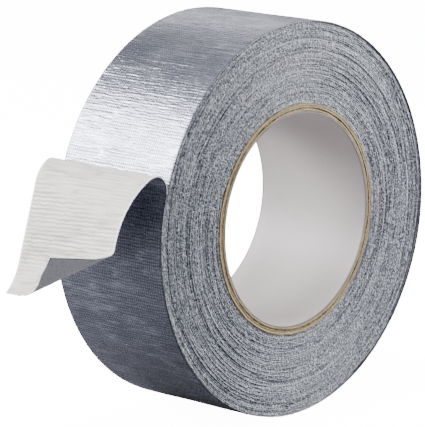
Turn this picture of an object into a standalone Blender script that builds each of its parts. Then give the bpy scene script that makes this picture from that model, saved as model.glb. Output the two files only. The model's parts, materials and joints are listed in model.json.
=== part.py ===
"""A roll of cloth-backed duct tape standing on its rim, with the free end of the tape peeled off and folded back.

Frame, in metres: the roll's axis runs along Y, +Z is up, and the origin is on the floor under the middle of the
roll. The tape leaves the roll on the -X side, rises over a fold and hangs down with its sticky side outwards.
"""

import bmesh
import bpy
import numpy as np
from math import cos, pi, radians, sin, tan
from mathutils import Matrix, Vector

MM = 0.001

# Roll and core ------------------------------------------------------------------------------------------------
ROLL_RADIUS = 70.8 * MM          # outside of the last turn
TAPE_WIDTH = 50.0 * MM
CORE_BORE_RADIUS = 38.1 * MM     # a three inch core
LINER_THICKNESS = 0.40 * MM      # smooth paper that lines the bore
PLY_THICKNESS = 0.90 * MM        # each wound strip of kraft board
PLY_COUNT = 3
GLUE_GAP = 0.06 * MM             # between one ring and the next

# Tape laminate, counted inwards from the silver face --------------------------------------------------------------
LAMINATE = (
    # name, depth of its outer face, thickness
    ("backing_film", 0.00 * MM, 0.10 * MM),
    ("scrim_cloth", 0.12 * MM, 0.08 * MM),
    ("adhesive", 0.22 * MM, 0.08 * MM),
)
TAPE_THICKNESS = 0.30 * MM

# The rim is a polygon with one facet flat on the floor ----------------------------------------------------------
FACETS = 90
FACET_ANGLE = 2 * pi / FACETS

# Path of the free end, measured along the tape from the line where it leaves the roll ---------------------------
PEEL_ANGLE = radians(16.0)       # of the peel line, up from the -X direction, and a corner of the polygon
FOLD_RADIUS = 5.2 * MM           # first bend, over the top
FOLD_TURN = radians(131.0)
RELEASE_LENGTH = 17.1 * MM       # second, slacker bend that goes on the same way
RELEASE_TURN = radians(44.9)
STRAIGHT_LENGTH = 15.5 * MM
FLARE_LENGTH = 22.0 * MM         # last bend, the other way, that lifts the near corner
FLARE_TURN = radians(91.5)
RELEASE_SLANT = radians(-20.3)   # slant of the bend lines across the tape
FLARE_SLANT = radians(33.7)
TAIL_LENGTH = 62.4 * MM          # from the peel line to the cut, on the middle of the tape
CUT_SLANT = -2.2 * MM            # how much further than that the cut is at +Y, and less at -Y

# Hinges that stand for the tape's bending -------------------------------------------------------------------------
TIP_HINGE = 35.0 * MM            # along the tape's middle from the peel line
HINGE_GAP = 0.5 * MM

STATION_STEP = 0.5 * MM
STATION_END = 130.0 * MM
CREST = FOLD_RADIUS * (pi / 2 + PEEL_ANGLE)   # where the fold is at its highest

SILVER = (0.47, 0.49, 0.55, 1)
SCRIM_WHITE = (0.82, 0.82, 0.80, 1)
ADHESIVE_CREAM = (0.80, 0.79, 0.75, 1)
KRAFT = (0.62, 0.48, 0.29, 1)
LINER_GREY = (0.60, 0.57, 0.56, 1)
WOUND_GREY = (0.36, 0.38, 0.42, 1)


def clear_scene():
    for obj in list(bpy.data.objects):
        bpy.data.objects.remove(obj, do_unlink=True)


def make_material(name, color, roughness, metallic=0.0):
    material = bpy.data.materials.new(name)
    material.use_nodes = True
    shader = material.node_tree.nodes["Principled BSDF"]
    shader.inputs["Base Color"].default_value = color
    shader.inputs["Roughness"].default_value = roughness
    shader.inputs["Metallic"].default_value = metallic
    return material


def add_object(name, mesh, material, collection, parent):
    mesh.materials.append(material)
    obj = bpy.data.objects.new(name, mesh)
    collection.objects.link(obj)
    obj.parent = parent
    return obj


def make_ring(name, inner, outer, material, collection, parent):
    """A ring of the tape's width around the parent's Z axis: a rectangle turned by a Screw modifier.

    Radii are to the middle of a facet, so that the lowest facet is flat at the stated radius.
    """
    corner = 1 / cos(FACET_ANGLE / 2)
    half = TAPE_WIDTH / 2
    outline = [(outer, half), (outer, -half), (inner, -half), (inner, half)]
    profile = bpy.data.meshes.new(name)
    profile.from_pydata([(r * corner, 0, z) for r, z in outline], [(0, 1), (1, 2), (2, 3), (3, 0)], [])
    ring = add_object(name, profile, material, collection, parent)
    ring.rotation_euler.z = FACET_ANGLE / 2
    turn = ring.modifiers.new("turn", "SCREW")
    turn.steps = turn.render_steps = FACETS
    turn.use_merge_vertices = True
    turn.merge_threshold = 0.0001 * MM
    turn.use_normal_calculate = True
    turn.use_normal_flip = True
    return ring


def ramp(value, start, end):
    """0 before start, 1 after end, and an even climb between them."""
    return np.clip((value - start) / (end - start), 0, 1)


def follow_tail():
    """Carries a frame along the middle of the free end.

    At each station the tape turns about a bend line that lies in it and leads by slope for each unit of width.
    A flat strip bent only about such lines is never stretched. Returns the stations, the middle line, the frame
    (along, across, silver side) and the slope.
    """
    fold_length = FOLD_RADIUS * FOLD_TURN
    release_end = fold_length + RELEASE_LENGTH
    flare_start = release_end + STRAIGHT_LENGTH
    flare_end = flare_start + FLARE_LENGTH
    station = np.arange(0, STATION_END, STATION_STEP)
    middle = station[:-1] + STATION_STEP / 2

    rate = np.where(middle < fold_length, 1 / FOLD_RADIUS, 0)
    rate = rate + np.where((middle > fold_length) & (middle < release_end), RELEASE_TURN / RELEASE_LENGTH, 0)
    rate = rate - np.where((middle > flare_start) & (middle < flare_end), FLARE_TURN / FLARE_LENGTH, 0)
    slope = tan(RELEASE_SLANT) * ramp(station, CREST, release_end)
    slope += (tan(FLARE_SLANT) - tan(RELEASE_SLANT)) * ramp(station, release_end, flare_end - 0.3 * FLARE_LENGTH)
    slant = np.arctan((slope[:-1] + slope[1:]) / 2)

    centre = np.array([0, 0, ROLL_RADIUS])
    points = [centre + ROLL_RADIUS * np.array([-cos(PEEL_ANGLE), 0, sin(PEEL_ANGLE)])]
    frames = [np.array([[sin(PEEL_ANGLE), 0, cos(PEEL_ANGLE)], [0, 1, 0], [-cos(PEEL_ANGLE), 0, sin(PEEL_ANGLE)]])]
    for turn_rate, beta in zip(rate, slant):
        along, across, face = frames[-1]
        x, y, z = cos(beta) * across + sin(beta) * along
        angle = -turn_rate * STATION_STEP
        cross = np.array([[0, -z, y], [z, 0, -x], [-y, x, 0]])
        rotation = np.eye(3) + sin(angle) * cross + (1 - cos(angle)) * cross @ cross
        frames.append(frames[-1] @ rotation.T)
        points.append(points[-1] + STATION_STEP * (frames[-1][0] + along) / 2)
    return station, np.array(points), np.array(frames), slope


TAIL_PATH = follow_tail()


def tail_points(line, width, depth):
    """Places of the free end for bend lines (by their station on the middle line), widths and depths of the laminate."""
    station, points, frames, slopes = TAIL_PATH
    middle = np.stack([np.interp(line, station, points[:, k]) for k in range(3)], -1)
    along, across, face = (
        np.stack([np.interp(line, station, frames[:, axis, k]) for k in range(3)], -1) for axis in range(3)
    )
    slope = np.interp(line, station, slopes)
    return middle + width[..., None] * (across + slope[..., None] * along) - depth * face


def bend_line_at(length, width):
    """The bend line that crosses the flat tape at this length and width: length = line + width * slope."""
    station, _, _, slopes = TAIL_PATH
    line = np.array(length, float)
    for _ in range(200):
        line = (line + length - width * np.interp(line, station, slopes)) / 2
    return line


def wrap_points(angle, width, depth):
    """Places on the last turn: angle up from the -X direction, and width and depth of the laminate."""
    radius = (ROLL_RADIUS - depth) / cos(FACET_ANGLE / 2)
    return np.stack([-radius * np.cos(angle), width, ROLL_RADIUS + radius * np.sin(angle)], -1)


def make_hinge(name, line, collection, parent):
    """An empty in the middle of the laminate with its Y axis along a bend line."""
    place = tail_points(np.array([line]), np.zeros(1), TAPE_THICKNESS / 2)[0]
    ends = tail_points(np.array([line, line]), np.array([-1.0, 1.0]) * TAPE_WIDTH / 2, 0)
    direction = Vector(ends[1] - ends[0]).normalized()
    hinge = bpy.data.objects.new(name, None)
    turn = Vector((0, 1, 0)).rotation_difference(direction).to_matrix().to_4x4()
    hinge.matrix_world = Matrix.Translation(place) @ turn
    collection.objects.link(hinge)
    hinge.empty_display_size = TAPE_WIDTH / 4
    bpy.context.view_layer.update()
    if parent is not None:
        hinge.parent = parent
        hinge.matrix_parent_inverse = parent.matrix_world.inverted()
        bpy.context.view_layer.update()
    print(name, "at", np.round(place, 6), "along", [round(value, 6) for value in direction])
    return hinge


def make_sheet(name, places, thickness, material, collection, parent):
    """A sheet through a grid of places, (lengthwise, across, xyz), thickened away from its silver side."""
    rows, columns = places.shape[:2]
    grid = bmesh.new()
    bmesh.ops.create_grid(grid, x_segments=columns - 1, y_segments=rows - 1, size=1)
    ordered = sorted(grid.verts, key=lambda v: (round(v.co.y, 5), round(v.co.x, 5)))
    for vertex, place in zip(ordered, places.reshape(-1, 3)):
        vertex.co = place
    bmesh.ops.reverse_faces(grid, faces=grid.faces)
    bmesh.ops.triangulate(grid, faces=grid.faces)
    if parent is not None:
        grid.transform(parent.matrix_world.inverted())
    mesh = bpy.data.meshes.new(name)
    grid.to_mesh(mesh)
    grid.free()
    mesh.shade_smooth()
    mesh.set_sharp_from_angle(angle=radians(40))
    sheet = add_object(name, mesh, material, collection, parent)
    shell = sheet.modifiers.new("thickness", "SOLIDIFY")
    shell.thickness = thickness
    shell.offset = -1
    return sheet


def make_core(collection, roll):
    """Liner and kraft plies, one ring inside the next."""
    liner = make_material("liner paper", LINER_GREY, 0.6)
    kraft = make_material("kraft board", KRAFT, 0.9)
    radius = CORE_BORE_RADIUS + LINER_THICKNESS
    make_ring("core_liner", CORE_BORE_RADIUS, radius, liner, collection, roll)
    for number in range(1, PLY_COUNT + 1):
        inner = radius + GLUE_GAP
        radius = inner + PLY_THICKNESS
        make_ring(f"core_ply_{number}", inner, radius, kraft, collection, roll)
    return radius


def make_last_turn(material_of, collection):
    """Three layers that go once round the roll from just above the peel line, and up the fold to its crest."""
    angles = PEEL_ANGLE - FACET_ANGLE * np.arange(FACETS - 1, -1, -1)
    rise = np.linspace(0, CREST - HINGE_GAP / 2, 11)[1:]
    across = np.array([-TAPE_WIDTH / 2, TAPE_WIDTH / 2])
    for name, depth, thickness in LAMINATE:
        angle, width = np.meshgrid(angles, across, indexing="ij")
        round_the_roll = wrap_points(angle, width, depth)
        line, width = np.meshgrid(rise, across, indexing="ij")
        up_the_fold = tail_points(line, width, depth)
        places = np.concatenate([round_the_roll, up_the_fold])
        make_sheet(f"last_turn_{name}", places, thickness, material_of[name], collection, None)


def make_tail(material_of, collection):
    """The free end past the crest, in two lengths that meet at a bend line, each on its own hinge."""
    lift = make_hinge("tail_lift_hinge", CREST, collection, None)
    bend = make_hinge("tail_tip_bend_hinge", TIP_HINGE, collection, lift)
    across = np.linspace(-TAPE_WIDTH / 2, TAPE_WIDTH / 2, 9)
    crest = np.full_like(across, CREST + HINGE_GAP / 2)
    hinge = TIP_HINGE + across * np.interp(TIP_HINGE, TAIL_PATH[0], TAIL_PATH[3])
    hinge_near = bend_line_at(hinge - HINGE_GAP / 2, across)
    hinge_far = bend_line_at(hinge + HINGE_GAP / 2, across)
    cut = bend_line_at(TAIL_LENGTH + CUT_SLANT * across / (TAPE_WIDTH / 2), across)
    spans = {"tail_root": (lift, crest, hinge_near, 14), "tail_tip": (bend, hinge_far, cut, 18)}
    for part, (hinge_of_part, start, end, rows) in spans.items():
        share = np.linspace(0, 1, rows + 1)[:, None]
        line = start * (1 - share) + end * share
        width = np.broadcast_to(across, line.shape)
        for name, depth, thickness in LAMINATE:
            places = tail_points(line, width, depth)
            make_sheet(f"{part}_{name}", places, thickness, material_of[name], collection, hinge_of_part)


def main():
    clear_scene()
    collection = bpy.data.collections.new("duct tape roll")
    bpy.context.scene.collection.children.link(collection)
    roll = bpy.data.objects.new("roll_axis", None)
    roll.location = (0, 0, ROLL_RADIUS)
    roll.rotation_euler = (radians(-90), 0, 0)
    collection.objects.link(roll)

    core_radius = make_core(collection, roll)
    wound = make_material("wound tape", WOUND_GREY, 0.7)
    make_ring("wound_turns", core_radius + GLUE_GAP, ROLL_RADIUS - TAPE_THICKNESS - GLUE_GAP, wound, collection, roll)
    material_of = {
        "backing_film": make_material("silver film", SILVER, 0.3, 0.7),
        "scrim_cloth": make_material("scrim yarn", SCRIM_WHITE, 0.9),
        "adhesive": make_material("adhesive", ADHESIVE_CREAM, 0.5),
    }
    make_last_turn(material_of, collection)
    make_tail(material_of, collection)


main()
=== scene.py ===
# %% [markdown]
# # A roll of duct tape, standing on its rim
#
# Duct tape is a laminate: a silver film on top, a thin open cloth in the middle, and a soft rubber adhesive
# underneath. It is wound on a board core, and the free end has been peeled up and folded back, so that both
# faces show. The solid model underneath gives the sizes and the motion. This file only makes the looks: each
# piece here is a surface computed with numpy, laid over the solid that it stands for.

# %% Load the solid model
import json

import bmesh
import bpy
import numpy as np
from mathutils import Matrix, Vector


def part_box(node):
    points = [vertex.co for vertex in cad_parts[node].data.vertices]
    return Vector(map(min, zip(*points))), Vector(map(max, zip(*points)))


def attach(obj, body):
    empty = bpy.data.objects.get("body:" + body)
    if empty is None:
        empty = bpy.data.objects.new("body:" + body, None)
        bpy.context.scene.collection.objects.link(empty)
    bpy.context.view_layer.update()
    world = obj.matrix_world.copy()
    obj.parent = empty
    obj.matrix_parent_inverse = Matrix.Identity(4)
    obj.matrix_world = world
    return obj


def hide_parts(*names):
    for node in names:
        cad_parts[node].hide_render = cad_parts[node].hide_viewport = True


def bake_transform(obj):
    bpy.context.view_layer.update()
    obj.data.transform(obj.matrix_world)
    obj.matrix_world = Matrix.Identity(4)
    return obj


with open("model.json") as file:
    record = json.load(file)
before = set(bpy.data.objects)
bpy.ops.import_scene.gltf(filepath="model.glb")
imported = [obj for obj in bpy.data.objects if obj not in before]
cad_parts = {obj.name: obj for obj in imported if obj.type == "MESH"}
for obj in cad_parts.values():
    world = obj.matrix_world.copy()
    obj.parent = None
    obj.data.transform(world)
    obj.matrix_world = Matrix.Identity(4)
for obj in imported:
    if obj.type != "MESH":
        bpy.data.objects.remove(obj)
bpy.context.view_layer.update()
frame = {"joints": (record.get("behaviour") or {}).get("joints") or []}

# %% [markdown]
# The sizes come from the solids' boxes. The roll's axis runs along Y, so half the height of a ring's box is
# its radius, and the box's middle is the axis. Lengths below are in metres, and MM turns millimetres into them.

# %% Sizes
MM = 0.001


def ring_radius(node):
    """Half the height of the box of a ring that lies around the Y axis."""
    low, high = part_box(node)
    return (high[2] - low[2]) / 2


ROLL_RADIUS = ring_radius("last_turn_backing_film")
BORE_RADIUS = ring_radius("core_liner") - 0.40 * MM
BOARD_INNER = ring_radius("core_liner")
BOARD_OUTER = ring_radius("core_ply_3")
HALF_WIDTH = (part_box("wound_turns")[1][1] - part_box("wound_turns")[0][1]) / 2
AXIS_HEIGHT = (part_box("core_liner")[0][2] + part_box("core_liner")[1][2]) / 2
TAPE_THICKNESS = 0.30 * MM
FILM_THICKNESS = 0.10 * MM
print(f"roll {ROLL_RADIUS * 2000:.1f} mm across, bore {BORE_RADIUS * 2000:.1f} mm,",
      f"tape {HALF_WIDTH * 2000:.1f} mm wide")

# %% [markdown]
# ## Noise that repeats exactly
#
# Nothing handmade is even, so most surfaces get some wander. A value noise does it: random numbers on the
# corners of a grid, and a smooth blend between them. The seed fixes the numbers, so each run gives the same
# roll. The whole array of places is looked up at once.

# %% Value noise
def value_noise(u, v, seed, cells=64):
    """Smooth random numbers from -1 to 1. Corner values of a grid, blended by 3t^2 - 2t^3.

    Along u the grid repeats after the given number of cells, so that noise round a ring can meet itself.
    """
    corners = np.random.default_rng(seed).uniform(-1, 1, (256, cells))
    u, v = np.broadcast_arrays(np.asarray(u, float), np.asarray(v, float))
    column, row = np.floor(u).astype(int), np.floor(v).astype(int)
    s, t = u - column, v - row
    s, t = s * s * (3 - 2 * s), t * t * (3 - 2 * t)
    here, beside = column % cells, (column + 1) % cells
    low = corners[row % 256, here] * (1 - s) + corners[row % 256, beside] * s
    high = corners[(row + 1) % 256, here] * (1 - s) + corners[(row + 1) % 256, beside] * s
    return low * (1 - t) + high * t


def ramp(value, start, end):
    """0 before start, 1 after end, and an even climb between them."""
    return np.clip((value - start) / (end - start), 0, 1)


def ring_noise(angle, v, seed, cells):
    """Value noise round a ring: the angle goes once round the repeat."""
    return value_noise(angle * cells / (2 * np.pi), v, seed, cells)


print("noise from", value_noise(np.linspace(0, 63, 500), 0.5, 1).min().round(2), "up")

# %% [markdown]
# ## From arrays to meshes
#
# Two helpers cover every piece. A shell has two faces on one grid and a rim round the edge: that is a length
# of tape. A ring is a closed outline carried round the axis, closed both ways: that is the core and the
# wound tape. Both write their vertices in one go, and both get a UV map in metres, length by width, so that a
# pattern can follow the tape round its bends.

# %% Mesh helpers
def mesh_piece(name, places, quads, corner_uv):
    """A mesh object from whole arrays: places (n, 3), quads (m, 4), and a UV in metres per corner (m, 4, 2).

    Edges where the surface turns by more than 50 degrees are sharp, and the rest is shaded smooth.
    """
    mesh = bpy.data.meshes.new(name)
    mesh.vertices.add(len(places))
    mesh.vertices.foreach_set("co", places.astype(np.float32).ravel())
    mesh.loops.add(quads.size)
    mesh.loops.foreach_set("vertex_index", quads.astype(np.int32).ravel())
    mesh.polygons.add(len(quads))
    mesh.polygons.foreach_set("loop_start", np.arange(0, quads.size, 4, dtype=np.int32))
    mesh.update(calc_edges=True)
    layer = mesh.uv_layers.new(name="tape_metres")
    layer.data.foreach_set("uv", corner_uv.astype(np.float32).ravel())
    mesh.shade_smooth()
    mesh.set_sharp_from_angle(angle=np.radians(50))
    mesh.validate()
    piece = bpy.data.objects.new(name, mesh)
    bpy.context.scene.collection.objects.link(piece)
    print(f"{name}: {2 * len(quads)} triangles")
    return piece


def grid_quads(rows, columns):
    """Corners of the cells of a grid whose vertices are numbered row by row."""
    first = (np.arange(rows - 1)[:, None] * columns + np.arange(columns - 1)).reshape(-1)
    return np.stack([first, first + 1, first + columns + 1, first + columns], -1)


def shell_piece(name, top, bottom, length, width):
    """A thin closed sheet. Two grids of places, (lengthwise, across, xyz), are joined by walls round their edge.

    The grids may differ in how many columns they have, so a hidden face can be a single strip.
    """
    rows, columns = top.shape[:2]
    under = bottom.shape[1]
    top_quads = grid_quads(rows, columns)[:, ::-1]
    bottom_quads = grid_quads(rows, under) + rows * columns
    top_number = np.arange(rows * columns).reshape(rows, columns)
    bottom_number = np.arange(rows * under).reshape(rows, under) + rows * columns
    walls = []
    for side, turned in ((0, True), (-1, False)):
        a, b = top_number[:, side], bottom_number[:, side]
        wall = np.stack([a[:-1], a[1:], b[1:], b[:-1]], -1)
        walls.append(wall[:, ::-1] if turned else wall)
    places = np.concatenate([top.reshape(-1, 3), bottom.reshape(-1, 3)])
    uv_top = np.stack(np.broadcast_arrays(length, width), -1).reshape(-1, 2)
    pick = np.round(np.linspace(0, columns - 1, under)).astype(int)
    uv_bottom = np.stack(np.broadcast_arrays(length, width), -1)[:, pick].reshape(-1, 2)
    uv = np.concatenate([uv_top, uv_bottom])
    quads = np.concatenate([top_quads, bottom_quads, *walls])
    end_polygons = []
    for end, turned in ((0, False), (-1, True)):
        a, b = top_number[end], bottom_number[end]
        if under == columns:
            wall = np.stack([a[:-1], a[1:], b[1:], b[:-1]], -1)
            end_polygons.append(wall[:, ::-1] if turned else wall)
    if end_polygons:
        quads = np.concatenate([quads, *end_polygons])
    piece = mesh_piece(name, places, quads, uv[quads])
    if not end_polygons:
        close_open_edges(piece)
    piece.data.set_sharp_from_angle(angle=np.radians(60))
    return piece


def close_open_edges(piece):
    """Fills each loop of edges that has a face on one side only."""
    work = bmesh.new()
    work.from_mesh(piece.data)
    bmesh.ops.holes_fill(work, edges=[edge for edge in work.edges if edge.is_boundary], sides=0)
    bmesh.ops.triangulate(work, faces=[face for face in work.faces if len(face.verts) > 4])
    work.to_mesh(piece.data)
    work.free()


def ring_piece(name, radius, depth, angle):
    """A closed outline carried round the roll's axis. radius and depth (y) are grids, (angle, outline).

    Place = (-r cos a, y, height of the axis + r sin a), for an angle a up from the -X side.
    """
    turns, outline = radius.shape
    a = angle[:, None]
    places = np.stack([-radius * np.cos(a), depth + 0 * a, AXIS_HEIGHT + radius * np.sin(a)], -1).reshape(-1, 3)
    step = angle[1] - angle[0]
    j, k = (part.reshape(-1) for part in np.meshgrid(np.arange(turns), np.arange(outline), indexing="ij"))
    j_next, k_next = (j + 1) % turns, (k + 1) % outline
    number = lambda row, column: row * outline + column
    quads = np.stack([number(j, k), number(j_next, k), number(j_next, k_next), number(j, k_next)], -1)
    arc = np.stack([j, j + 1, j + 1, j], -1) * step * ROLL_RADIUS
    along = np.stack([radius[j, k], radius[j_next, k], radius[j_next, k_next], radius[j, k_next]], -1)
    return mesh_piece(name, places, quads, np.stack([arc, along], -1))


print("mesh helpers ready")

# %% [markdown]
# ## The path of the free end
#
# Tape bends but never stretches. A strip like that can only bend about straight lines that lie in it. Square
# to the tape they give a plain curl, and slanted ones give a twist, like the wave in a ribbon. So the free end
# is worked out as a real strip: a frame (along the tape, across it, and out of its silver side) is carried
# along the middle line and turned a little about the bend line at each step.
#
# There are three bends. The fold over the top is tight and square. A slacker one goes on the same way, with
# slanted bend lines. The last one bends the other way, and its slant lifts the near corner and lets the far
# corner hang.

# %% Bend constants
PEEL_ANGLE = np.radians(16.0)
FOLD_RADIUS, FOLD_TURN = 5.2 * MM, np.radians(131.0)
RELEASE_LENGTH, RELEASE_TURN = 17.1 * MM, np.radians(44.9)
STRAIGHT_LENGTH = 15.5 * MM
FLARE_LENGTH, FLARE_TURN = 22.0 * MM, np.radians(91.5)
RELEASE_SLOPE, FLARE_SLOPE = np.tan(np.radians(-20.3)), np.tan(np.radians(33.7))
TAIL_LENGTH, CUT_SLANT = 62.4 * MM, -2.2 * MM
CREST = FOLD_RADIUS * (np.pi / 2 + PEEL_ANGLE)
TIP_HINGE = 35.0 * MM
print(f"free end {TAIL_LENGTH * 1000:.1f} mm long, crest {CREST * 1000:.1f} mm along it")


# %% The strip as a function
def follow_free_end(step=0.25 * MM, end=130 * MM):
    """Stations, middle line, frames and bend line slopes of the free end, from the peel line onwards."""
    fold_end = FOLD_RADIUS * FOLD_TURN
    release_end = fold_end + RELEASE_LENGTH
    flare_start = release_end + STRAIGHT_LENGTH
    flare_end = flare_start + FLARE_LENGTH
    station = np.arange(0, end, step)
    middle = station[:-1] + step / 2
    rate = np.where(middle < fold_end, 1 / FOLD_RADIUS, 0)
    rate = rate + np.where((middle > fold_end) & (middle < release_end), RELEASE_TURN / RELEASE_LENGTH, 0)
    rate = rate - np.where((middle > flare_start) & (middle < flare_end), FLARE_TURN / FLARE_LENGTH, 0)
    slope = RELEASE_SLOPE * ramp(station, CREST, release_end)
    slope += (FLARE_SLOPE - RELEASE_SLOPE) * ramp(station, release_end, flare_end - 0.3 * FLARE_LENGTH)
    slant = np.arctan((slope[:-1] + slope[1:]) / 2)
    up = np.array([-np.cos(PEEL_ANGLE), 0, np.sin(PEEL_ANGLE)])
    points = [np.array([0, 0, AXIS_HEIGHT]) + ROLL_RADIUS * up]
    frames = [np.array([[np.sin(PEEL_ANGLE), 0, np.cos(PEEL_ANGLE)], [0, 1, 0], up])]
    for turn_rate, beta in zip(rate, slant):
        along, across, _ = frames[-1]
        line = Vector(np.cos(beta) * across + np.sin(beta) * along)
        turn = np.array(Matrix.Rotation(-turn_rate * step, 3, line))
        frames.append(frames[-1] @ turn.T)
        points.append(points[-1] + step * (frames[-1][0] + along) / 2)
    return station, np.array(points), np.array(frames), slope


FREE_END = follow_free_end()


def free_end_places(line, width, lift):
    """Places by bend line, width across the tape, and height above the silver face.

    Place = middle + width * (across + slope * along) + lift * out.
    """
    station, points, frames, slopes = FREE_END
    look_up = lambda values: np.stack([np.interp(line, station, values[:, k]) for k in range(3)], -1)
    along, across, out = (look_up(frames[:, axis]) for axis in range(3))
    slope = np.interp(line, station, slopes)
    width = np.broadcast_to(width, line.shape)
    lift = np.broadcast_to(lift, line.shape)
    return look_up(points) + width[..., None] * (across + slope[..., None] * along) + lift[..., None] * out


def bend_line_at(length, width):
    """The bend line through a place on the flat tape: length = line + width * slope, solved by repeated halving."""
    station, _, _, slopes = FREE_END
    line = np.array(length, float)
    for _ in range(200):
        line = (line + length - width * np.interp(line, station, slopes)) / 2
    return line


tip = free_end_places(np.array([TAIL_LENGTH]), 0.0, 0.0)[0]
print("middle of the cut end at", (tip * 1000).round(1), "mm")

# %% [markdown]
# ## The relief of the cloth
#
# The film is pressed onto the cloth, so the yarns print through it. The yarns across the tape are the thicker
# ones and show as ribs, about one and a half millimetres apart and never quite even. They are real relief
# here. The finer yarns along the tape come later, as bump in the material.

# %% Rib relief
RIB_PITCH = 1.45 * MM


def rib_relief(length, width):
    """Height of the crosswise ribs and crinkles, in metres.

    Ribs are a cosine of length whose phase and strength wander. A crinkle is where a noise stretched across the
    tape passes through zero: 1 - |noise|, made sharp by a power.
    """
    wander = 0.45 * value_noise(length / (7 * MM), width / (11 * MM) + 7.3, 3)
    strength = ramp(value_noise(length / (5.1 * MM), width / (6 * MM) + 20.1, 4), -0.7, 0.9)
    ribs = 0.5 + 0.5 * np.cos(2 * np.pi * (length / RIB_PITCH + wander))
    crinkle = 1 - np.abs(value_noise(length / (1.3 * MM), width / (12 * MM) + 3.7, 5))
    broken = ramp(value_noise(length / (8 * MM), width / (9 * MM) + 13.1, 6), -0.8, 0.4)
    swell = value_noise(length / (14 * MM), width / (9 * MM) + 33.7, 7)
    return 0.055 * MM * ribs * strength + 0.120 * MM * crinkle**5 * broken + 0.014 * MM * swell


def mark_relief(piece, relief):
    """Stores how high each vertex stands in the relief, from 0 to 1, for painted light on crests and shade in
    hollows.
    """
    height = np.full(len(piece.data.vertices), 0.5, np.float32)
    flat = relief.reshape(-1)
    height[: len(flat)] = ramp(flat, -0.020 * MM, 0.105 * MM)
    attribute = piece.data.attributes.new("relief", "FLOAT", "POINT")
    attribute.data.foreach_set("value", height)


def rim_wander(length, seed):
    """How far the tape's edge strays sideways, in metres."""
    slow = 0.10 * MM * value_noise(length / (23 * MM), 0.5, seed)
    return slow + 0.04 * MM * value_noise(length / (2.3 * MM), 0.5, seed + 1)


sample = rib_relief(np.linspace(0, 0.1, 2000), np.zeros(2000))
print(f"relief from {sample.min() * 1e6:.0f} to {sample.max() * 1e6:.0f} micrometres")

# %% [markdown]
# ## The last turn
#
# The tape runs in a spiral, so the last turn ends one thickness lower than it began. It starts at the peel
# line and goes down, under the roll, up the far side and over the top, and then tucks in below the fold. Its
# silver face is a fine grid for the ribs. The face below is hidden, so one strip of faces closes it.

# %% Last turn
def around_roll(length, width, lift):
    """Places by length back from the peel line: the radius falls by one thickness in a full turn."""
    angle = PEEL_ANGLE - length / ROLL_RADIUS
    radius = ROLL_RADIUS - TAPE_THICKNESS * length / (2 * np.pi * ROLL_RADIUS) + lift
    return np.stack(np.broadcast_arrays(-radius * np.cos(angle), width, AXIS_HEIGHT + radius * np.sin(angle)), -1)


back = np.linspace(0, (2 * np.pi + 0.05) * ROLL_RADIUS, 1150)[:, None]
spread = np.linspace(-1, 1, 72)[None, :]
width = HALF_WIDTH * spread + rim_wander(-back, 11) * spread
rounding = 0.06 * MM * ramp(np.abs(spread), 0.985, 1.0) ** 2
relief = rib_relief(-back, width)
face = around_roll(back, width, relief - rounding)
under_width = np.concatenate([width[:, :1], width[:, -1:]], axis=1)
under = around_roll(back, under_width, -0.28 * MM)
last_turn = shell_piece("last_turn", face[::-1], under[::-1], -back[::-1], width[::-1])
mark_relief(last_turn, relief[::-1])
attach(last_turn, "roll")
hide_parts("last_turn_backing_film", "last_turn_scrim_cloth", "last_turn_adhesive")

# %% [markdown]
# ## The free end
#
# The free end is two layers here, a silver film and an adhesive with the cloth in it, because their faces and
# edges look so different. Each layer is cut at a bend line between the two hinges. The first length goes from
# the roll over the fold, and the second to the cut end.

# %% Free end layers
SPLIT_LINE = 23.4 * MM
COLUMNS = 84
across = np.linspace(-1, 1, COLUMNS)[None, :]


def layer_places(share, first, last, depth, sign):
    """A face of a layer between two lines on the flat tape: its places, lengths and widths.

    sign is 1 for the silver side and -1 for the sticky one, which is pressed in where the silver side stands up.
    """
    w = (HALF_WIDTH + 0 * share) * across + rim_wander(share * 40 * MM, 11) * across * 0.5
    start = first(w)
    end = last(w)
    line = start * (1 - share) + end * share
    slope = np.interp(line, FREE_END[0], FREE_END[3])
    length = line + w * slope
    relief = rib_relief(length, w)
    lift = -depth + (relief if sign > 0 else -0.9 * relief)
    return free_end_places(line, w, lift), length, w


def cut_line(width):
    """Bend line under the cut end, torn by hand: nearly square, with a slow wave and a fine ragged edge."""
    ragged = 0.25 * MM * value_noise(width / (3.0 * MM) + 9, 0.5, 21)
    ragged += 0.12 * MM * value_noise(width / (0.8 * MM), 0.5, 22)
    return bend_line_at(TAIL_LENGTH + CUT_SLANT * width / HALF_WIDTH + ragged, width)


def make_layer(name, rows, first, last, depth, thickness):
    """One layer of the laminate as a closed sheet, from its depth under the silver face and its thickness."""
    share = np.linspace(0, 1, rows)[:, None]
    silver_side, length, w = layer_places(share, first, last, depth, 1)
    sticky_side, _, _ = layer_places(share, first, last, depth + thickness, -1 if depth > 0 else 1)
    piece = shell_piece(name, silver_side, sticky_side, length, w)
    mark_relief(piece, np.concatenate([rib_relief(length, w)] * 2))
    return piece


def peel_line(width):
    """Bend line of the peel line: 0 at every width."""
    return np.zeros_like(width)


def split_line(width):
    """Bend line where the two lengths meet: the same at every width."""
    return np.full_like(width, SPLIT_LINE)


free_end = {}
for layer, depth, thickness in (("film", 0.0, FILM_THICKNESS), ("adhesive", FILM_THICKNESS + 0.01 * MM, 0.19 * MM)):
    free_end[layer, "fold"] = make_layer(f"fold_{layer}", 66, peel_line, split_line, depth, thickness)
    free_end[layer, "end"] = make_layer(f"end_{layer}", 112, split_line, cut_line, depth, thickness)
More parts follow.
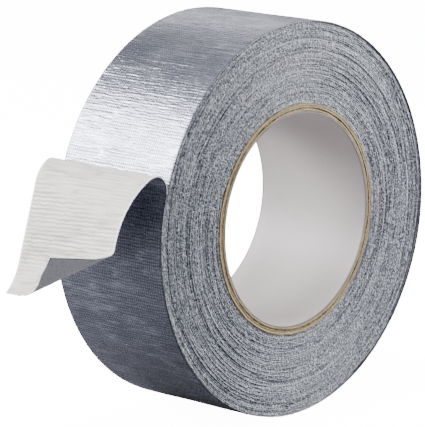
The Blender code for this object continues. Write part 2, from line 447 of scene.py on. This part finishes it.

# %% [markdown]
# Each length stays where it was built: it is attached to no body, so it follows neither the roll nor the two
# hinges. The direction of the tip's hinge is worked out, but nothing uses it, and the solids of the free end are
# hidden.

# %% Free end left in place
hinge_along = np.array([np.interp(TIP_HINGE, FREE_END[0], FREE_END[2][:, 0, k]) for k in range(3)])
bend_direction = np.array(frame["joints"][1]["axis"])
hinge_square = hinge_along - bend_direction * (hinge_along @ bend_direction)
hinge_square /= np.linalg.norm(hinge_square)
for layer, slot in (("film", "backing_film"), ("adhesive", "adhesive")):
    fold, end = free_end[layer, "fold"], free_end[layer, "end"]
    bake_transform(fold)
    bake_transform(end)
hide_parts("tail_root_backing_film")
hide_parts("tail_root_adhesive", "tail_root_scrim_cloth")
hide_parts("tail_tip_backing_film")
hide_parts("tail_tip_adhesive", "tail_tip_scrim_cloth")

# %% [markdown]
# ## The wound tape
#
# Seen from the side, the roll is the cut edges of some ninety turns. They never line up: each turn stands a
# little in or out, groups of turns drift together where the winding tension changed, and the yarns make the
# edge rough. Each half of the wound tape is a ring whose side face is a fine grid of radius by angle, with
# that relief in it.

# %% Wound tape
WOUND_OUTER = ROLL_RADIUS - TAPE_THICKNESS - 0.05 * MM
WOUND_INNER = BOARD_OUTER + 0.03 * MM
TURN_PITCH = 0.62 * MM


def wound_relief(radius, angle, seed):
    """How far the cut edges lie behind the side plane, in metres.

    Turns are ridges in the radius, each with its own step in or out that changes slowly round the ring. Some
    neighbours part for a stretch and leave a narrow furrow. Groups of turns drift together.
    """
    turn = (radius - WOUND_INNER + 0.25 * MM * ring_noise(angle, radius / (9 * MM), seed + 5, 9)) / TURN_PITCH
    ridge = 0.5 - 0.5 * np.cos(2 * np.pi * turn)
    step_out = ring_noise(angle, np.round(turn) * 1.37, seed, 7)
    drift = ring_noise(angle, radius / (3.6 * MM), seed + 1, 5)
    parted = 1 - np.abs(ring_noise(angle, radius / (1.9 * MM), seed + 2, 8))
    rough = ring_noise(angle, radius / (0.33 * MM), seed + 3, 430)
    relief = 0.13 * ridge + 0.15 * step_out + 0.15 * drift + 0.34 * parted**10 + 0.08 * rough
    return 0.32 * MM + relief * MM


def make_wound_half(name, side, seed):
    """Half of the wound tape. side is -1 for the near face and 1 for the far one."""
    angle = np.linspace(0, 2 * np.pi, 505)[:-1]
    steps = np.linspace(WOUND_INNER, WOUND_OUTER, 190)
    radius = np.broadcast_to(steps[None, :], (len(angle), len(steps)))
    depth = side * (HALF_WIDTH - wound_relief(radius, np.broadcast_to(angle[:, None], radius.shape), seed))
    inner_back = np.full((len(angle), 1), WOUND_INNER)
    outer_back = np.full((len(angle), 1), WOUND_OUTER)
    gap = np.full((len(angle), 1), side * 0.02 * MM)
    radius = np.concatenate([radius, outer_back, inner_back], axis=1)
    depth = np.concatenate([depth, gap, gap], axis=1)
    if side < 0:
        radius, depth = radius[:, ::-1], depth[:, ::-1]
    return ring_piece(name, radius, depth, angle)


wound_near = make_wound_half("wound_near", -1, 31)
wound_far = make_wound_half("wound_far", 1, 41)
for piece in (wound_near, wound_far):
    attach(piece, "roll")
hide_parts("wound_turns")

# %% [markdown]
# ## The core
#
# The core is kraft board: strips wound in a spiral and glued, with a smooth pale paper inside. Its sawn edge
# shows the plies as fine rings, one of them pulled up and dark with glue, and it is a little fuzzy. The paper
# lining goes right through the bore, with the faint line where its spiral meets itself.

# %% Core board
def sawn_edge(radius, angle, seed):
    """How far the sawn edge lies behind the side plane, in metres: ply grooves, a lifted ply and fuzz."""
    share = (radius - BOARD_INNER) / (BOARD_OUTER - BOARD_INNER)
    share = share + 0.05 * ring_noise(angle, 0.5, seed + 3, 11) + 0.03 * ring_noise(angle, 0.5, seed + 4, 47)
    grooves = 0.5 + 0.5 * np.cos(2 * np.pi * share * 3)
    lifted = np.exp(-(((share - 0.40) / 0.07) ** 2)) * ramp(ring_noise(angle, 0.5, seed, 13), -0.9, 0.3)
    chewed = ramp(ring_noise(angle, share * 5, seed + 2, 90), 0.1, 0.9)
    fuzz = ring_noise(angle, share * 13, seed + 1, 300)
    relief = 0.12 * grooves + 0.40 * lifted + 0.22 * chewed + 0.09 * fuzz
    return 0.08 * MM + relief * MM


angle = np.linspace(0, 2 * np.pi, 721)[:-1]
steps = np.linspace(BOARD_INNER + 0.02 * MM, BOARD_OUTER, 30)
edge_radius = np.broadcast_to(steps[None, :], (len(angle), len(steps)))
angle_grid = np.broadcast_to(angle[:, None], edge_radius.shape)
near_edge = -(HALF_WIDTH - sawn_edge(edge_radius, angle_grid, 51))
far_edge = HALF_WIDTH - sawn_edge(edge_radius, angle_grid, 61)
board_radius = np.concatenate([edge_radius[:, ::-1], edge_radius], axis=1)
board_depth = np.concatenate([near_edge[:, ::-1], far_edge], axis=1)
core_board = ring_piece("core_board", board_radius, board_depth, angle)
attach(core_board, "roll")
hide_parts("core_ply_1", "core_ply_2", "core_ply_3")


# %% Bore lining
LINING_STRIP = 55 * MM  # how far the wound strip climbs in one turn


def lining_relief(depth, angle):
    """Inward bulge of the lining, in metres: a groove along one spiral line and a slow unevenness."""
    turns = depth / LINING_STRIP + angle / (2 * np.pi)
    from_line = np.abs(turns - np.round(turns)) * LINING_STRIP
    groove = np.exp(-((from_line / (0.35 * MM)) ** 2))
    swell = value_noise(depth / (12 * MM) + 5, 6 + 2.5 * np.cos(angle) + 1.5 * np.sin(angle), 71)
    return -0.05 * MM * groove + 0.03 * MM * swell


angle = np.linspace(0, 2 * np.pi, 541)[:-1]
through = np.linspace(-HALF_WIDTH + 0.12 * MM, HALF_WIDTH - 0.12 * MM, 120)[None, :]
inner_radius = BORE_RADIUS + 0.05 * MM - lining_relief(through, angle[:, None])
outer_radius = np.full((len(angle), 2), BOARD_INNER)
lining_radius = np.concatenate([inner_radius, outer_radius], axis=1)
lining_depth = np.concatenate([np.broadcast_to(through, inner_radius.shape),
                               np.broadcast_to(through[:, [-1, 0]], outer_radius.shape)], axis=1)
bore_lining = ring_piece("bore_lining", lining_radius, lining_depth, angle)
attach(bore_lining, "roll")
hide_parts("core_liner")

# %% [markdown]
# ## Finishes
#
# Each finish is a node material. Effects that more than one finish needs are node groups: the weave of the
# cloth, a soft mottle, a fine speckle, the crinkle across the tape and a mask for the tape's cut edges. A group
# only puts out values, and the shader stays in the material.

# %% Node helpers
def add_node(tree, kind, links=(), **settings):
    """A node with its settings, and its inputs either linked (from a socket) or set (to a value)."""
    node = tree.nodes.new(kind)
    for key, value in settings.items():
        setattr(node, key, value)
    for socket, value in dict(links).items():
        if isinstance(value, bpy.types.NodeSocket):
            tree.links.new(value, node.inputs[socket])
        else:
            node.inputs[socket].default_value = value
    return node


def math_node(tree, operation, *values):
    """A Math node's output for up to three sockets or numbers."""
    return add_node(tree, "ShaderNodeMath", dict(enumerate(values)), operation=operation).outputs[0]


def new_group(name, inputs, outputs):
    """An empty node group with named sockets: (name, kind, default)."""
    tree = bpy.data.node_groups.new(name, "ShaderNodeTree")
    for label, kind, default in inputs:
        socket = tree.interface.new_socket(label, in_out="INPUT", socket_type=kind)
        if default is not None:
            socket.default_value = default
    for label, kind in outputs:
        tree.interface.new_socket(label, in_out="OUTPUT", socket_type=kind)
    return tree, tree.nodes.new("NodeGroupInput").outputs, tree.nodes.new("NodeGroupOutput").inputs


print("node helpers ready")

# %% Weave group
weave, given, result = new_group(
    "cloth weave",
    [("Tape metres", "NodeSocketVector", None), ("Along pitch mm", "NodeSocketFloat", 1.0),
     ("Across pitch mm", "NodeSocketFloat", 1.45), ("Wander", "NodeSocketFloat", 0.3)],
    [("Height", "NodeSocketFloat"), ("Along yarns", "NodeSocketFloat"), ("Across yarns", "NodeSocketFloat")],
)
in_mm = add_node(weave, "ShaderNodeVectorMath", {0: given["Tape metres"], 3: 1000.0}, operation="SCALE").outputs[0]
axes = add_node(weave, "ShaderNodeSeparateXYZ", {0: in_mm}).outputs
sway = add_node(weave, "ShaderNodeTexNoise", {"Vector": in_mm, "Scale": 0.35, "Detail": 2.0}).outputs[0]
sway = math_node(weave, "MULTIPLY", math_node(weave, "SUBTRACT", sway, 0.5), given["Wander"])
yarns = {}
for label, axis, pitch in (("Along yarns", "Y", "Along pitch mm"), ("Across yarns", "X", "Across pitch mm")):
    count = math_node(weave, "ADD", math_node(weave, "DIVIDE", axes[axis], given[pitch]), sway)
    wave = math_node(weave, "COSINE", math_node(weave, "MULTIPLY", count, 2 * np.pi))
    yarns[label] = math_node(weave, "MULTIPLY_ADD", wave, 0.5, 0.5)
    weave.links.new(yarns[label], result[label])
height = math_node(weave, "ADD", math_node(weave, "MULTIPLY", yarns["Along yarns"], 0.5), yarns["Across yarns"])
weave.links.new(height, result["Height"])
print("weave group:", len(weave.nodes), "nodes")

# %% Mottle and speckle groups
mottle, given, result = new_group(
    "soft mottle",
    [("Vector", "NodeSocketVector", None), ("Scale", "NodeSocketFloat", 60.0), ("Low", "NodeSocketFloat", 0.85),
     ("High", "NodeSocketFloat", 1.1)],
    [("Value", "NodeSocketFloat")],
)
cloud = add_node(mottle, "ShaderNodeTexNoise", {"Vector": given["Vector"], "Scale": given["Scale"], "Detail": 4.0})
links = {0: cloud.outputs[0], 1: 0.3, 2: 0.7, 3: given["Low"], 4: given["High"]}
mottle.links.new(add_node(mottle, "ShaderNodeMapRange", links).outputs[0], result["Value"])

speckle, given, result = new_group(
    "fine speckle",
    [("Vector", "NodeSocketVector", None), ("Scale", "NodeSocketFloat", 1500.0),
     ("Threshold", "NodeSocketFloat", 0.6)],
    [("Mask", "NodeSocketFloat")],
)
grain = add_node(speckle, "ShaderNodeTexNoise", {"Vector": given["Vector"], "Scale": given["Scale"], "Detail": 2.0})
full = math_node(speckle, "ADD", given["Threshold"], 0.12)
links = {0: grain.outputs[0], 1: given["Threshold"], 2: full}
speckle.links.new(add_node(speckle, "ShaderNodeMapRange", links).outputs[0], result["Mask"])

# %% [markdown]
# Two more groups follow the tape. The crinkle is noise stretched across the tape, because the film wrinkles
# along the thicker yarns. The edge mask is 1 at the slit edges and the cut end and fades within a narrow band.

# %% Crinkle and edge groups
crinkles, given, result = new_group(
    "stretched crinkle",
    [("Tape metres", "NodeSocketVector", None), ("Along scale", "NodeSocketFloat", 1000.0),
     ("Across scale", "NodeSocketFloat", 160.0)],
    [("Value", "NodeSocketFloat")],
)
scales = add_node(crinkles, "ShaderNodeCombineXYZ", {"X": given["Along scale"], "Y": given["Across scale"]})
links = {0: given["Tape metres"], 1: scales.outputs[0]}
drawn = add_node(crinkles, "ShaderNodeVectorMath", links, operation="MULTIPLY").outputs[0]
folds = add_node(crinkles, "ShaderNodeTexNoise", {"Vector": drawn, "Scale": 1.0, "Detail": 4.0}).outputs[0]
crinkles.links.new(add_node(crinkles, "ShaderNodeMapRange", {0: folds, 1: 0.3, 2: 0.7}).outputs[0], result["Value"])

tape_edge, given, result = new_group(
    "tape edge",
    [("Tape metres", "NodeSocketVector", None), ("Band", "NodeSocketFloat", 0.0005),
     ("Half width", "NodeSocketFloat", 0.025), ("Length", "NodeSocketFloat", 0.06)],
    [("Mask", "NodeSocketFloat")],
)
axes = add_node(tape_edge, "ShaderNodeSeparateXYZ", {0: given["Tape metres"]}).outputs
nearest = math_node(tape_edge, "SUBTRACT", given["Half width"], math_node(tape_edge, "ABSOLUTE", axes["Y"]))
to_end = math_node(tape_edge, "SUBTRACT", given["Length"], axes["X"])
nearest = math_node(tape_edge, "MINIMUM", nearest, to_end)
sharp = math_node(tape_edge, "MULTIPLY", given["Band"], 0.4)
edge = add_node(tape_edge, "ShaderNodeMapRange", {0: nearest, 1: given["Band"], 2: sharp}).outputs[0]
tape_edge.links.new(edge, result["Mask"])
print("groups:", [group.name for group in bpy.data.node_groups])


# %% Finish helpers
def new_finish(name):
    """A material with a Principled BSDF. Returns the material, its tree and the shader."""
    material = bpy.data.materials.new(name)
    material.use_nodes = True
    return material, material.node_tree, material.node_tree.nodes["Principled BSDF"]


def use_group(tree, group, links):
    """A group placed in a material, with its own values."""
    node = add_node(tree, "ShaderNodeGroup", node_tree=group)
    for socket, value in links.items():
        if isinstance(value, bpy.types.NodeSocket):
            tree.links.new(value, node.inputs[socket])
        else:
            node.inputs[socket].default_value = value
    return node.outputs


def mix_colors(tree, factor, first, second):
    """A colour between two, each a socket or an (r, g, b) tuple."""
    mix = add_node(tree, "ShaderNodeMix", data_type="RGBA")
    for socket, value in ((0, factor), (6, first), (7, second)):
        if isinstance(value, bpy.types.NodeSocket):
            tree.links.new(value, mix.inputs[socket])
        else:
            mix.inputs[socket].default_value = value if socket == 0 else (*value, 1)
    return mix.outputs[2]


def times(tree, color, factor):
    """A colour made lighter or darker by a value."""
    return add_node(tree, "ShaderNodeVectorMath", {0: color, 3: factor}, operation="SCALE").outputs[0]


def add_bump(tree, shader, height, distance, strength=1.0):
    """Bump from a height, whose full range stands for distance metres."""
    bump = add_node(tree, "ShaderNodeBump", {"Height": height, "Distance": distance, "Strength": strength})
    tree.links.new(bump.outputs[0], shader.inputs["Normal"])


print("finish helpers ready")

# %% [markdown]
# ### Silver film
#
# The silver is fine aluminium powder in a clear plastic, so it is half way between metal and paint: it takes a
# broad, soft reflection, and the yarns underneath break that up. Light and shade are also painted into its
# colour: lighter on the crests of the ribs and on the yarns, darker in the hollows, the crinkles and between the
# yarns, and dark along the slit edges and the cut end. Towards the cut end, where fingers have held it, the film
# has gone dull: the distance along the tape turns the metal down there.

# %% Silver film
film_finish, tree, shader = new_finish("silver film")
tape_uv = add_node(tree, "ShaderNodeUVMap", uv_map="tape_metres").outputs[0]
pitches = {"Along pitch mm": 0.95, "Across pitch mm": 1.10, "Wander": 1.2}
cloth = use_group(tree, weave, {"Tape metres": tape_uv, **pitches})
cloud = use_group(tree, mottle, {"Vector": tape_uv, "Scale": 90.0, "Low": 0.96, "High": 1.03})
crinkle = use_group(tree, crinkles, {"Tape metres": tape_uv, "Along scale": 1000.0, "Across scale": 160.0})
fine = use_group(tree, mottle, {"Vector": tape_uv, "Scale": 1100.0, "Low": 0.88, "High": 1.10})
yarn_highlight = math_node(tree, "MULTIPLY", cloth["Across yarns"], cloth["Along yarns"])
between = math_node(tree, "MINIMUM", cloth["Across yarns"], cloth["Along yarns"])
between = add_node(tree, "ShaderNodeMapRange", {0: between, 1: 0.02, 2: 0.40, 3: 0.50, 4: 0.0}).outputs[0]
crest = add_node(tree, "ShaderNodeAttribute", attribute_name="relief").outputs["Fac"]
# Painted light and shade: the film is lighter on the crests of the relief and darker in its hollows.
tone = mix_colors(tree, crest, (0.17, 0.176, 0.228), (0.78, 0.795, 0.92))
# Painted shade in the crinkles.
tone = mix_colors(tree, math_node(tree, "MULTIPLY", crinkle["Value"], 0.70), tone, (0.17, 0.176, 0.225))
# Painted highlight on the yarns, and painted shade between them.
tone = mix_colors(tree, math_node(tree, "MULTIPLY", yarn_highlight, 0.6), tone, (0.75, 0.76, 0.86))
tone = mix_colors(tree, between, tone, (0.13, 0.136, 0.178))
tone = times(tree, times(tree, tone, cloud["Value"]), fine["Value"])
along_tape = add_node(tree, "ShaderNodeSeparateXYZ", {0: tape_uv}).outputs
handled = add_node(tree, "ShaderNodeMapRange", {0: along_tape["X"], 1: 30 * MM, 2: 46 * MM}).outputs[0]
tone = mix_colors(tree, handled, tone, (0.80, 0.80, 0.80))
# Painted shade: a dark band along the slit edges and the cut end.
edge_shade = use_group(tree, tape_edge, {"Tape metres": tape_uv, "Band": 0.55 * MM, "Half width": HALF_WIDTH,
                                        "Length": TAIL_LENGTH + 2 * MM})
tone = mix_colors(tree, math_node(tree, "MULTIPLY", edge_shade["Mask"], 0.9), tone, (0.05, 0.052, 0.062))
tree.links.new(tone, shader.inputs["Base Color"])
metal = math_node(tree, "MULTIPLY_ADD", handled, -0.80, 0.88)
tree.links.new(metal, shader.inputs["Metallic"])
rough = add_node(tree, "ShaderNodeMapRange", {0: fine["Value"], 1: 0.88, 2: 1.10, 3: 0.34, 4: 0.24}).outputs[0]
tree.links.new(rough, shader.inputs["Roughness"])
relief = math_node(tree, "MULTIPLY", cloth["Height"], 0.6)
relief = math_node(tree, "ADD", relief, math_node(tree, "MULTIPLY", fine["Value"], 1.5))
relief = math_node(tree, "ADD", relief, math_node(tree, "MULTIPLY", crinkle["Value"], 1.6))
add_bump(tree, shader, relief, 0.055 * MM)
for piece in (last_turn, free_end["film", "fold"], free_end["film", "end"]):
    piece.data.materials.append(film_finish)
print("silver film on 3 pieces")

# %% [markdown]
# ### Adhesive
#
# The sticky side is a cream-white rubber with the cloth just under its skin. Ribs show as soft lines across
# the tape, with painted shade in the hollows and the crinkles, and the surface has a soft sheen. A painted
# highlight along its edges and the cut end makes it nearly white there.

# %% Adhesive
adhesive_finish, tree, shader = new_finish("adhesive and cloth")
tape_uv = add_node(tree, "ShaderNodeUVMap", uv_map="tape_metres").outputs[0]
pitches = {"Along pitch mm": 1.1, "Across pitch mm": 1.45, "Wander": 0.9}
cloth = use_group(tree, weave, {"Tape metres": tape_uv, **pitches})
cloud = use_group(tree, mottle, {"Vector": tape_uv, "Scale": 70.0, "Low": 0.93, "High": 1.04})
fine = use_group(tree, mottle, {"Vector": tape_uv, "Scale": 1200.0, "Low": 0.92, "High": 1.06})
crinkle = use_group(tree, crinkles, {"Tape metres": tape_uv, "Along scale": 700.0, "Across scale": 90.0})
crest = add_node(tree, "ShaderNodeAttribute", attribute_name="relief").outputs["Fac"]
# Painted shade: the sticky side is darker in its hollows, where it is pressed in over a crest of the silver side.
tone = mix_colors(tree, crest, (0.88, 0.86, 0.80), (0.50, 0.482, 0.43))
# Painted shade in the crinkles.
tone = mix_colors(tree, math_node(tree, "MULTIPLY", crinkle["Value"], 0.45), tone, (0.42, 0.405, 0.36))
tone = times(tree, times(tree, tone, cloud["Value"]), fine["Value"])
# Painted highlight: nearly white along the slit edges and the cut end.
edge_highlight = use_group(tree, tape_edge, {"Tape metres": tape_uv, "Band": 1.0 * MM, "Half width": HALF_WIDTH,
                                      "Length": TAIL_LENGTH})
tone = mix_colors(tree, edge_highlight["Mask"], tone, (1.0, 1.0, 0.98))
tree.links.new(tone, shader.inputs["Base Color"])
shader.inputs["Roughness"].default_value = 0.36
relief = math_node(tree, "ADD", cloth["Height"], fine["Value"])
relief = math_node(tree, "SUBTRACT", relief, crinkle["Value"])
add_bump(tree, shader, relief, 0.09 * MM)
for piece in (free_end["adhesive", "fold"], free_end["adhesive", "end"]):
    piece.data.materials.append(adhesive_finish)
print("adhesive on 2 pieces")

# %% [markdown]
# ### Cut edges of the wound tape
#
# On the side, film, cloth and adhesive alternate every third of a millimetre. From a little way off they
# merge to a blue grey, with fine dark rings between turns and a salt and pepper of yarn ends. The rings come
# from the distance to the axis, so they stay round.

# %% Wound tape finish
def places_from_axis(tree):
    """Object coordinates from the roll's axis, the same without their Y, and the distance to the axis."""
    place = add_node(tree, "ShaderNodeTexCoord").outputs["Object"]
    centred = add_node(tree, "ShaderNodeMapping", {"Vector": place, "Location": (0, 0, -AXIS_HEIGHT)}).outputs[0]
    flat = add_node(tree, "ShaderNodeVectorMath", {0: centred, 1: (1, 0, 1)}, operation="MULTIPLY").outputs[0]
    return centred, flat, add_node(tree, "ShaderNodeVectorMath", {0: flat}, operation="LENGTH").outputs["Value"]


wound_finish, tree, shader = new_finish("cut edges of wound tape")
centred, flat, from_axis = places_from_axis(tree)
unit = add_node(tree, "ShaderNodeVectorMath", {0: flat}, operation="NORMALIZE").outputs[0]


def along_turns(around, pitch, detail):
    """Noise drawn out along the turns, looked up at direction from the axis * around + (0, radius / pitch, 0)."""
    slow = add_node(tree, "ShaderNodeVectorMath", {0: unit, 3: around}, operation="SCALE").outputs[0]
    count = math_node(tree, "DIVIDE", from_axis, pitch)
    fast = add_node(tree, "ShaderNodeCombineXYZ", {"Y": count}).outputs[0]
    both = add_node(tree, "ShaderNodeVectorMath", {0: slow, 1: fast}, operation="ADD").outputs[0]
    return add_node(tree, "ShaderNodeTexNoise", {"Vector": both, "Scale": 1.0, "Detail": detail}).outputs[0]


streaks = add_node(tree, "ShaderNodeMapRange", {0: along_turns(9.0, 0.60 * MM, 2.0), 1: 0.34, 2: 0.60}).outputs[0]
threads = add_node(tree, "ShaderNodeMapRange", {0: along_turns(70.0, 0.50 * MM, 2.0), 1: 0.38, 2: 0.60}).outputs[0]
links = {0: along_turns(1.3, 0.36 * MM, 1.0), 1: 0.31, 2: 0.41, 3: 1.0, 4: 0.0}
gaps = add_node(tree, "ShaderNodeMapRange", links).outputs[0]
salt = use_group(tree, speckle, {"Vector": centred, "Scale": 1250.0, "Threshold": 0.50})["Mask"]
pepper = use_group(tree, speckle, {"Vector": flat, "Scale": 1150.0, "Threshold": 0.50})["Mask"]
cloud = use_group(tree, mottle, {"Vector": centred, "Scale": 40.0, "Low": 0.90, "High": 1.08})["Value"]
bright = add_node(tree, "ShaderNodeMapRange", {0: along_turns(1.6, 0.36 * MM, 1.0), 1: 0.58, 2: 0.70}).outputs[0]
tone = mix_colors(tree, streaks, (0.075, 0.081, 0.10), (0.26, 0.278, 0.325))
tone = mix_colors(tree, math_node(tree, "MULTIPLY", threads, 0.40), tone, (0.36, 0.378, 0.435))
tone = mix_colors(tree, math_node(tree, "MULTIPLY", pepper, 0.80), tone, (0.025, 0.028, 0.037))
tone = mix_colors(tree, math_node(tree, "MULTIPLY", salt, 0.80), tone, (0.62, 0.64, 0.69))
tone = mix_colors(tree, math_node(tree, "MULTIPLY", bright, 0.60), tone, (0.55, 0.57, 0.62))
tone = mix_colors(tree, math_node(tree, "MULTIPLY", gaps, 0.75), tone, (0.02, 0.022, 0.03))
tree.links.new(times(tree, tone, cloud), shader.inputs["Base Color"])
shader.inputs["Roughness"].default_value = 0.5
shader.inputs["Metallic"].default_value = 0.15
relief = math_node(tree, "ADD", streaks, math_node(tree, "SUBTRACT", math_node(tree, "MULTIPLY", salt, 1.2), pepper))
relief = math_node(tree, "ADD", relief, math_node(tree, "MULTIPLY", threads, 0.8))
add_bump(tree, shader, relief, 0.14 * MM)
for piece in (wound_near, wound_far):
    piece.data.materials.append(wound_finish)
print("cut edges on 2 pieces")

# %% [markdown]
# ### Kraft board and its lining
#
# Board is brown with short darker and lighter fibres, and its sawn edge shows each ply. The lining is a
# smooth grey paper, warm in tone, with a little tooth, and a dark brown painted shade lies at its two ends.

# %% Kraft board
board_finish, tree, shader = new_finish("kraft board")
centred, flat, from_axis = places_from_axis(tree)
sway = add_node(tree, "ShaderNodeTexNoise", {"Vector": centred, "Scale": 60.0, "Detail": 3.0}).outputs[0]
ply = add_node(tree, "ShaderNodeMapRange", {0: from_axis, 1: BOARD_INNER, 2: BOARD_OUTER}).outputs[0]
ply = math_node(tree, "ADD", ply, math_node(tree, "MULTIPLY", math_node(tree, "SUBTRACT", sway, 0.5), 0.22))
lines = math_node(tree, "COSINE", math_node(tree, "MULTIPLY", ply, 2 * np.pi * 3))
lines = math_node(tree, "MULTIPLY_ADD", lines, 0.5, 0.5)
glue = math_node(tree, "ABSOLUTE", math_node(tree, "SUBTRACT", ply, 0.40))
glue = add_node(tree, "ShaderNodeMapRange", {0: glue, 1: 0.16, 2: 0.06, 3: 0.0, 4: 0.95}).outputs[0]
patchy = use_group(tree, mottle, {"Vector": centred, "Scale": 150.0, "Low": 0.15, "High": 1.25})["Value"]
glue = add_node(tree, "ShaderNodeMath", {0: glue, 1: patchy}, operation="MULTIPLY", use_clamp=True).outputs[0]
# A dark line also runs along the outer rim of the board, where it meets the wound tape.
rim_line = add_node(tree, "ShaderNodeMapRange", {0: ply, 1: 0.84, 2: 0.98, 3: 0.0, 4: 0.9}).outputs[0]
glue = math_node(tree, "MAXIMUM", glue, rim_line)
fibre = use_group(tree, speckle, {"Vector": centred, "Scale": 1400.0, "Threshold": 0.52})["Mask"]
cloud = use_group(tree, mottle, {"Vector": centred, "Scale": 120.0, "Low": 0.82, "High": 1.14})["Value"]
tone = mix_colors(tree, math_node(tree, "MULTIPLY", lines, 0.6), (0.52, 0.41, 0.24), (0.30, 0.22, 0.12))
tone = mix_colors(tree, glue, tone, (0.07, 0.045, 0.022))
tone = mix_colors(tree, math_node(tree, "MULTIPLY", fibre, 0.45), tone, (0.74, 0.61, 0.38))
tree.links.new(times(tree, tone, cloud), shader.inputs["Base Color"])
shader.inputs["Roughness"].default_value = 0.9
add_bump(tree, shader, math_node(tree, "SUBTRACT", fibre, lines), 0.06 * MM)
core_board.data.materials.append(board_finish)

# %% Lining paper
lining_finish, tree, shader = new_finish("lining paper")
place = add_node(tree, "ShaderNodeTexCoord").outputs["Object"]
cloud = use_group(tree, mottle, {"Vector": place, "Scale": 30.0, "Low": 0.96, "High": 1.03})["Value"]
tooth = use_group(tree, mottle, {"Vector": place, "Scale": 1500.0, "Low": 0.94, "High": 1.05})["Value"]
from_middle = math_node(tree, "ABSOLUTE", add_node(tree, "ShaderNodeSeparateXYZ", {0: place}).outputs["Y"])
# Painted shade: both ends of the lining turn dark brown, for the board's rim in shadow.
links = {0: from_middle, 1: HALF_WIDTH - 0.9 * MM, 2: HALF_WIDTH - 0.4 * MM, 4: 0.75}
end_shade = add_node(tree, "ShaderNodeMapRange", links).outputs[0]
tone = mix_colors(tree, cloud, (0.49, 0.445, 0.44), (0.57, 0.525, 0.52))
tone = times(tree, times(tree, tone, cloud), tooth)
tree.links.new(mix_colors(tree, end_shade, tone, (0.09, 0.07, 0.05)), shader.inputs["Base Color"])
shader.inputs["Roughness"].default_value = 0.45
add_bump(tree, shader, tooth, 0.02 * MM)
bore_lining.data.materials.append(lining_finish)
print("finishes:", [material.name for material in bpy.data.materials if material.users])

# %% [markdown]
# ## Studio
#
# The roll stands on a plain pale floor. A large soft box behind and above the left side gives the broad bright
# band on the silver, and a dimmer one on the right lights the top. A key from the right rakes across the side
# face and shows its turns, a fill lights it from the front, and one overhead picks out the crest of the fold.
# The camera has a long lens and stands a little above the roll's axis.
#
# The floor and the backdrop shine white only to the camera. To every other ray they are dim, so that the roll is
# lit by its lamps alone and the silver has something dark to mirror.

# %% Floor
PLAIN_WHITE = 14.0  # strength at which the floor and the backdrop show as plain white

floor_mesh = bpy.data.meshes.new("floor")
floor_mesh.from_pydata([(-8, -8, 0), (8, -8, 0), (8, 8, 0), (-8, 8, 0)], [], [(0, 1, 2, 3)])
floor = bpy.data.objects.new("floor", floor_mesh)
bpy.context.scene.collection.objects.link(floor)
floor_finish, tree, shader = new_finish("pale floor")
shader.inputs["Base Color"].default_value = (0.9, 0.9, 0.9, 1)
shader.inputs["Roughness"].default_value = 0.9
shader.inputs["Emission Color"].default_value = (1, 1, 1, 1)
shader.inputs["Emission Strength"].default_value = PLAIN_WHITE
grey_card = add_node(tree, "ShaderNodeBsdfDiffuse", {"Color": (0.115, 0.115, 0.128, 1)}).outputs[0]
seen = add_node(tree, "ShaderNodeLightPath").outputs["Is Camera Ray"]
choose = add_node(tree, "ShaderNodeMixShader", {0: seen, 1: grey_card, 2: shader.outputs[0]}).outputs[0]
tree.links.new(choose, tree.nodes["Material Output"].inputs["Surface"])
floor_mesh.materials.append(floor_finish)


# %% Lights
def soft_box(name, direction, distance, width, height, power, color=(1, 1, 1)):
    """An area light at a distance in a direction from the roll's middle, facing it."""
    light = bpy.data.lights.new(name, "AREA")
    light.shape = "RECTANGLE"
    light.size, light.size_y = width, height
    light.energy = power
    light.color = color
    lamp = bpy.data.objects.new(name, light)
    middle = Vector((0, 0, AXIS_HEIGHT))
    away = Vector(direction).normalized()
    lamp.location = middle + distance * away
    lamp.rotation_euler = away.to_track_quat("Z", "Y").to_euler()
    bpy.context.scene.collection.objects.link(lamp)
    return lamp


soft_box("band light", (-0.58, 0.66, 0.46), 1.0, 0.9, 0.46, 23)
soft_box("top light", (0.62, 0.64, 0.42), 1.2, 0.5, 0.4, 1.1)
soft_box("side key", (0.90, -0.44, 0.16), 0.6, 0.4, 0.4, 8.6)
soft_box("front fill", (-0.62, -0.46, 0.60), 1.5, 0.6, 0.6, 7)
soft_box("overhead", (-0.22, 0.02, 0.97), 1.2, 0.3, 0.3, 17)
world = bpy.data.worlds.new("studio")
world.use_nodes = True
room = world.node_tree
room.nodes["Background"].inputs["Color"].default_value = (0.80, 0.84, 1.0, 1)
room.nodes["Background"].inputs["Strength"].default_value = 0.15
backdrop = add_node(room, "ShaderNodeBackground", {"Color": (1, 1, 1, 1), "Strength": PLAIN_WHITE}).outputs[0]
seen = add_node(room, "ShaderNodeLightPath").outputs["Is Camera Ray"]
dim = room.nodes["Background"].outputs[0]
choose = add_node(room, "ShaderNodeMixShader", {0: seen, 1: dim, 2: backdrop}).outputs[0]
room.links.new(choose, room.nodes["World Output"].inputs["Surface"])
bpy.context.scene.world = world
print("5 lights")

# %% Camera
azimuth, elevation = np.radians(-47.976), np.radians(12.157)
toward = Vector((np.sin(azimuth) * np.cos(elevation), -np.cos(azimuth) * np.cos(elevation), np.sin(elevation)))
sideways = Vector((np.cos(azimuth), np.sin(azimuth), 0))
upward = toward.cross(sideways)
lens = bpy.data.cameras.new("camera")
lens.lens = 250.8
lens.sensor_width = 36
lens.clip_end = 50
camera = bpy.data.objects.new("camera", lens)
turn = Matrix((sideways, upward, toward)).transposed().to_4x4()
camera.matrix_world = Matrix.Translation((-0.78143, -0.68863, AXIS_HEIGHT + 0.22305)) @ turn
bpy.context.scene.collection.objects.link(camera)
bpy.context.scene.camera = camera
print("camera at", [round(value, 3) for value in camera.location])
